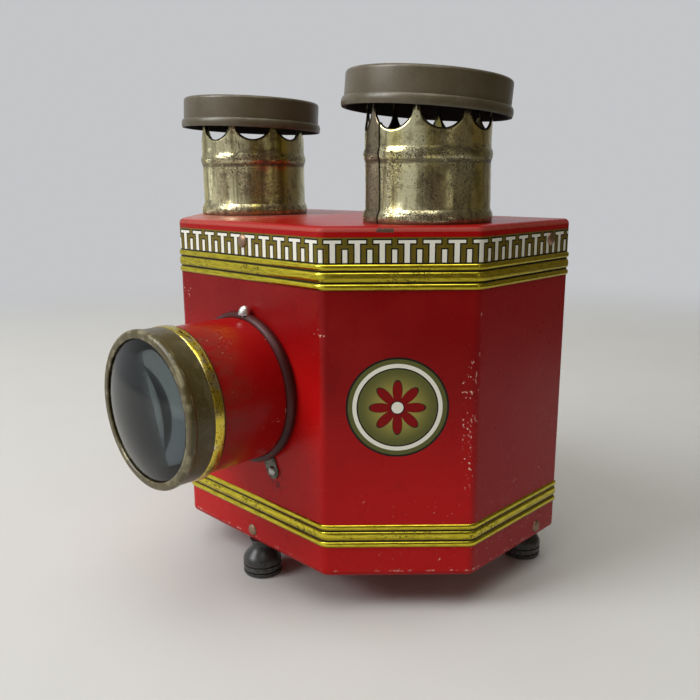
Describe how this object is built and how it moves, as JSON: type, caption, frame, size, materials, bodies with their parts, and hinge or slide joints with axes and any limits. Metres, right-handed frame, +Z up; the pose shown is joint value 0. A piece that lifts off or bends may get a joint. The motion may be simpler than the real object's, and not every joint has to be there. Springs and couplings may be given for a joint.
{
  "type": "picture projector",
  "caption": "Toy tinplate picture projector with slanted front corners, a push-pull lens tube, lift-off scalloped chimneys, electric lamps and a hinged picture door.",
  "frame": {"origin": "on the standing surface, below the middle of the object's overall box", "axes": "+Z up, the lens looks along -Y, +X to the right seen from the front"},
  "size_m": [0.2018, 0.2, 0.2421],
  "materials": {
    "red_tin": "gloss lithographed tinplate",
    "gold_tin": "gold lacquered tinplate, speckled with age",
    "taupe_tin": "satin lacquered tinplate",
    "olive_tin": "satin lacquered tinplate with worn brassy edges",
    "collar_tin": "dark worn lacquer",
    "bright_tin": "bare tinplate",
    "steel": "dull steel",
    "rivet": "tarnished",
    "lamp_brass": "bright",
    "lens_glass": "polished",
    "lamp_glass": "clear",
    "socket": "glazed porcelain",
    "foot": "satin black",
    "knob": "black stained",
    "bushing": "black fibre"
  },
  "bodies": {
    "housing": {"body_wall": "red_tin", "top_plate": "red_tin", "bottom_plate": "red_tin", "back_panel": "red_tin", "wall_rivets": "rivet", "back_rivets": "rivet", "lens_collar": "collar_tin", "collar_screw": "bright_tin", "collar_rivets": "steel", "stack_neck_left": "bright_tin", "stack_neck_right": "bright_tin", "lamp_socket_left": "socket", "lamp_socket_right": "socket", "socket_screws": "steel", "lamp_base_left": "lamp_brass", "lamp_base_right": "lamp_brass", "lamp_glass_left": "lamp_glass", "lamp_glass_right": "lamp_glass", "reflector_left": "bright_tin", "reflector_right": "bright_tin", "reflector_rivets": "steel", "hinge_leaf_body": "steel", "hinge_pin": "steel", "hinge_rivets_body": "steel", "foot_front": "foot", "foot_rear_left": "foot", "foot_rear_right": "foot", "foot_screws": "steel", "cord_bushing": "bushing"},
    "lens_barrel": {"lens_tube": "red_tin", "lens_bezel": "olive_tin", "lens": "lens_glass"},
    "left_chimney": {"chimney_left": "gold_tin", "chimney_cap_left": "taupe_tin"},
    "right_chimney": {"chimney_right": "gold_tin", "chimney_cap_right": "taupe_tin"},
    "picture_door": {"door_panel": "red_tin", "card_rail_top": "bright_tin", "card_rail_bottom": "bright_tin", "door_knob": "knob", "knob_screw": "steel", "door_catch": "steel", "hinge_leaf_door": "steel", "hinge_rivets_door": "steel"}
  },
  "joints": [
    {"name": "focus_slide", "type": "slide", "parent": "housing", "child": "lens_barrel", "axis": [0, -1, 0], "range_m": [-0.033, 0.012]},
    {"name": "left_chimney_lift", "type": "slide", "parent": "housing", "child": "left_chimney", "axis": [0, 0, 1], "range_m": [0, 0.06]},
    {"name": "right_chimney_lift", "type": "slide", "parent": "housing", "child": "right_chimney", "axis": [0, 0, 1], "range_m": [0, 0.06]},
    {"name": "door_hinge", "type": "hinge", "parent": "housing", "child": "picture_door", "pos_m": [0.0762, 0.08305, 0.0977], "axis": [0, 0, -1], "range_deg": [0, 150]}
  ]
}
